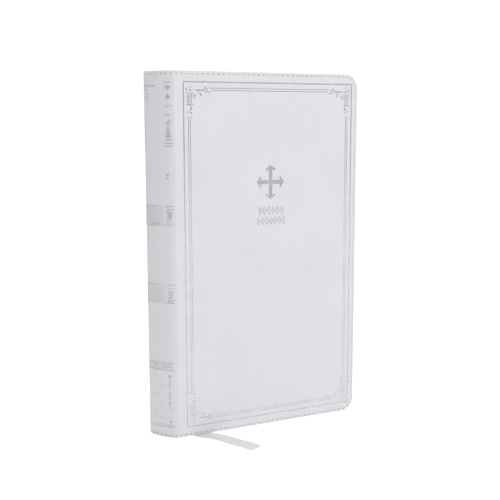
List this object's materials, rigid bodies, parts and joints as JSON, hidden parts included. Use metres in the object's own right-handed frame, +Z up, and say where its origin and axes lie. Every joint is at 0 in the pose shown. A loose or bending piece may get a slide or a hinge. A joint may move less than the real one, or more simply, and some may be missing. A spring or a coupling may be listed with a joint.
{
  "type": "bible",
  "caption": "Thick closed book with a soft white leather-like cover, rounded spine, edge seam, silver stamped frame and cross, and a ribbon marker; both covers and leaf groups open.",
  "frame": {"origin": "foot of the spine, in the middle of its wall at the crest of the rounded back", "axes": "+X from spine to fore-edge, +Y from front cover to back cover, +Z up from foot to head"},
  "size_m": [0.1325, 0.0664, 0.2133],
  "materials": {
    "leathersoft": "matt white leather-like polyurethane, fine grain",
    "board": "grey flexible bookbinding board",
    "endpaper": "plain white uncoated endpaper",
    "bible_paper": "thin opaque white printing paper",
    "lining_paper": "kraft lining paper",
    "mull_cloth": "open cotton gauze",
    "seam_thread": "white polyester seam thread",
    "sewing_thread": "undyed sewing thread",
    "band_cotton": "white woven cotton band",
    "ribbon_satin": "white satin ribbon, soft sheen",
    "silver_foil": "hot-stamped silver foil, satin"
  },
  "bodies": {
    "text_block": {"spine_skin": "leathersoft", "spine_inlay": "board", "spine_seam_head": "seam_thread", "spine_seam_tail": "seam_thread", "spine_foil_head_panel": "silver_foil", "spine_foil_upper_band": "silver_foil", "spine_foil_middle_band": "silver_foil", "spine_foil_tail_panel": "silver_foil", "spine_foil_mark": "silver_foil", "mull": "mull_cloth", "spine_lining": "lining_paper", "sewing_thread": "sewing_thread", "headband": "band_cotton", "tailband": "band_cotton", "front_section_folds": "bible_paper", "section_1": "bible_paper", "section_2": "bible_paper", "section_3": "bible_paper", "section_4": "bible_paper", "section_5": "bible_paper", "section_6": "bible_paper", "section_7": "bible_paper", "section_8": "bible_paper", "back_section_folds": "bible_paper", "ribbon_in_block": "ribbon_satin"},
    "front_cover": {"front_cover_skin": "leathersoft", "front_board": "board", "front_mull_wing": "mull_cloth", "front_pastedown": "endpaper", "front_seam": "seam_thread", "foil_frame_line": "silver_foil", "foil_frame_double_line": "silver_foil", "foil_cross": "silver_foil", "foil_title_row_upper": "silver_foil", "foil_title_row_lower": "silver_foil"},
    "back_cover": {"back_cover_skin": "leathersoft", "back_board": "board", "back_mull_wing": "mull_cloth", "back_pastedown": "endpaper", "back_seam": "seam_thread"},
    "ribbon_end": {"ribbon_tail": "ribbon_satin"},
    "front_flyleaf": {"front_flyleaf": "endpaper"},
    "front_leaves_1": {"front_leaves_1": "bible_paper"},
    "front_leaves_2": {"front_leaves_2": "bible_paper"},
    "front_leaves_3": {"front_leaves_3": "bible_paper"},
    "front_leaves_4": {"front_leaves_4": "bible_paper"},
    "front_leaves_5": {"front_leaves_5": "bible_paper"},
    "front_leaves_6": {"front_leaves_6": "bible_paper"},
    "back_flyleaf": {"back_flyleaf": "endpaper"},
    "back_leaves_1": {"back_leaves_1": "bible_paper"},
    "back_leaves_2": {"back_leaves_2": "bible_paper"},
    "back_leaves_3": {"back_leaves_3": "bible_paper"}
  },
  "joints": [
    {"name": "front_cover_joint", "type": "hinge", "parent": "text_block", "child": "front_cover", "pos_m": [0.0127, -0.0161, 0], "axis": [0, 0, -1], "range_deg": [0, 178], "stiffness_Nm_per_rad": 0.004},
    {"name": "back_cover_joint", "type": "hinge", "parent": "text_block", "child": "back_cover", "pos_m": [0.0127, 0.0161, 0], "axis": [0, 0, 1], "range_deg": [0, 178], "stiffness_Nm_per_rad": 0.004},
    {"name": "ribbon_bend", "type": "hinge", "parent": "text_block", "child": "ribbon_end", "pos_m": [0.0261, -0.0168, -0.00025], "axis": [1, 0, 0], "range_deg": [0, 85], "stiffness_Nm_per_rad": 0.003},
    {"name": "front_flyleaf_turn", "type": "hinge", "parent": "text_block", "child": "front_flyleaf", "pos_m": [0.0127, -0.0161, 0], "axis": [0, 0, -1], "range_deg": [0, 167.82]},
    {"name": "front_leaves_1_turn", "type": "hinge", "parent": "text_block", "child": "front_leaves_1", "pos_m": [0.0127, -0.0161, 0], "axis": [0, 0, -1], "range_deg": [0, 153.58]},
    {"name": "front_leaves_2_turn", "type": "hinge", "parent": "text_block", "child": "front_leaves_2", "pos_m": [0.0127, -0.0161, 0], "axis": [0, 0, -1], "range_deg": [0, 137.56]},
    {"name": "front_leaves_3_turn", "type": "hinge", "parent": "text_block", "child": "front_leaves_3", "pos_m": [0.0127, -0.0161, 0], "axis": [0, 0, -1], "range_deg": [0, 119.76]},
    {"name": "front_leaves_4_turn", "type": "hinge", "parent": "text_block", "child": "front_leaves_4", "pos_m": [0.0127, -0.0161, 0], "axis": [0, 0, -1], "range_deg": [0, 98.4]},
    {"name": "front_leaves_5_turn", "type": "hinge", "parent": "text_block", "child": "front_leaves_5", "pos_m": [0.0127, -0.0161, 0], "axis": [0, 0, -1], "range_deg": [0, 73.48]},
    {"name": "front_leaves_6_turn", "type": "hinge", "parent": "text_block", "child": "front_leaves_6", "pos_m": [0.0127, -0.0161, 0], "axis": [0, 0, -1], "range_deg": [0, 45]},
    {"name": "back_flyleaf_turn", "type": "hinge", "parent": "text_block", "child": "back_flyleaf", "pos_m": [0.0127, 0.0161, 0], "axis": [0, 0, 1], "range_deg": [0, 164.26]},
    {"name": "back_leaves_1_turn", "type": "hinge", "parent": "text_block", "child": "back_leaves_1", "pos_m": [0.0127, 0.0161, 0], "axis": [0, 0, 1], "range_deg": [0, 135.78]},
    {"name": "back_leaves_2_turn", "type": "hinge", "parent": "text_block", "child": "back_leaves_2", "pos_m": [0.0127, 0.0161, 0], "axis": [0, 0, 1], "range_deg": [0, 96.62]},
    {"name": "back_leaves_3_turn", "type": "hinge", "parent": "text_block", "child": "back_leaves_3", "pos_m": [0.0127, 0.0161, 0], "axis": [0, 0, 1], "range_deg": [0, 50.34]}
  ],
  "couplings": [
    {"joint": "front_flyleaf_turn", "follows": "front_cover_joint", "ratio": 0.94},
    {"joint": "front_leaves_1_turn", "follows": "front_cover_joint", "ratio": 0.86},
    {"joint": "front_leaves_2_turn", "follows": "front_cover_joint", "ratio": 0.77},
    {"joint": "front_leaves_3_turn", "follows": "front_cover_joint", "ratio": 0.67},
    {"joint": "front_leaves_4_turn", "follows": "front_cover_joint", "ratio": 0.55},
    {"joint": "front_leaves_5_turn", "follows": "front_cover_joint", "ratio": 0.41},
    {"joint": "front_leaves_6_turn", "follows": "front_cover_joint", "ratio": 0.25},
    {"joint": "back_flyleaf_turn", "follows": "back_cover_joint", "ratio": 0.92},
    {"joint": "back_leaves_1_turn", "follows": "back_cover_joint", "ratio": 0.76},
    {"joint": "back_leaves_2_turn", "follows": "back_cover_joint", "ratio": 0.54},
    {"joint": "back_leaves_3_turn", "follows": "back_cover_joint", "ratio": 0.28}
  ]
}
